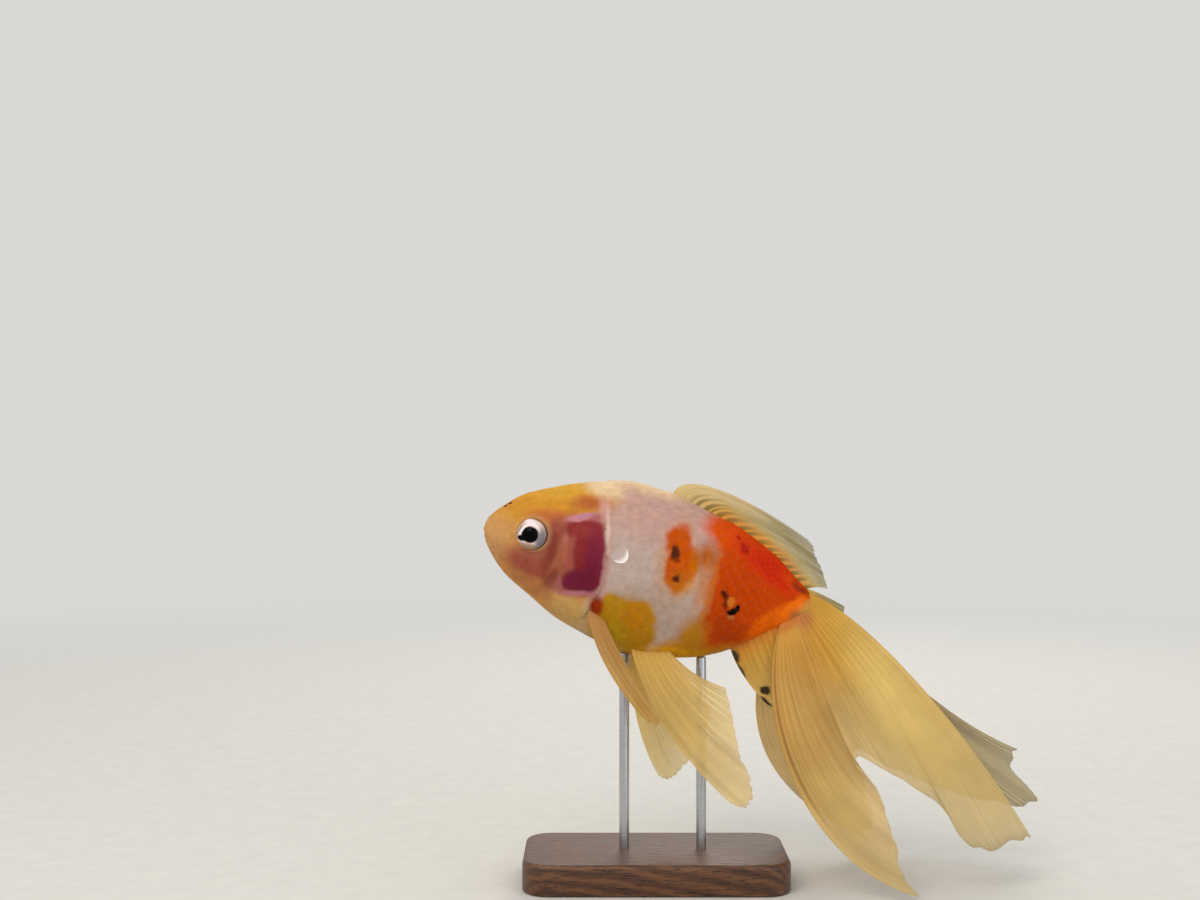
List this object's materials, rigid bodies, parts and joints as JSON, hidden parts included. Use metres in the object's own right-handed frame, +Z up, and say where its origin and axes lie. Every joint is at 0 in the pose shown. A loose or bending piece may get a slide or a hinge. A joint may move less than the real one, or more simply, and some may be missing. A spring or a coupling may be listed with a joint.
{
  "type": "fancy goldfish",
  "caption": "Life-size fancy goldfish with a deep calico body and a long forked double tail, held snout-up in a swimming pose by slim rods over a flat wooden base.",
  "frame": {"origin": "middle of the base's underside", "axes": "+Z up, +X from the snout towards the tail, +Y to the fish's right"},
  "size_m": [0.1486, 0.056, 0.1037],
  "materials": {
    "golden_orange_skin": "wet satin skin, golden orange on the crown and pinkish on the cheeks",
    "pale_jaw_skin": "wet satin skin, pale pinkish",
    "plum_gill_skin": "wet satin skin, plum red",
    "calico_skin": "wet satin scaled skin, pinkish white with orange and mustard patches",
    "orange_tail_skin": "wet satin scaled skin, deep orange",
    "cream_fin": "thin satin fin, cream and slightly see-through",
    "pink_fin": "thin satin fin, pinkish and slightly see-through",
    "wet_eye": "glossy clear eye with a pale iris and a black pupil",
    "walnut": "oiled dark wood",
    "satin_steel": "satin"
  },
  "bodies": {
    "root": {"head": "golden_orange_skin", "lower_jaw": "pale_jaw_skin", "gill_cover_left": "plum_gill_skin", "gill_cover_right": "plum_gill_skin", "eye_left": "wet_eye", "eye_right": "wet_eye", "trunk": "calico_skin", "tail_stalk": "orange_tail_skin", "dorsal_fin": "cream_fin", "tail_crest": "cream_fin", "tail_fin_left": "cream_fin", "tail_fin_right": "cream_fin", "anal_fin_left": "cream_fin", "anal_fin_right": "cream_fin", "pelvic_fin_left": "cream_fin", "pelvic_fin_right": "cream_fin", "pectoral_fin_left": "pink_fin", "pectoral_fin_right": "pink_fin", "stand_base": "walnut", "stand_rod_front": "satin_steel", "stand_rod_rear": "satin_steel"}
  },
  "joints": []
}
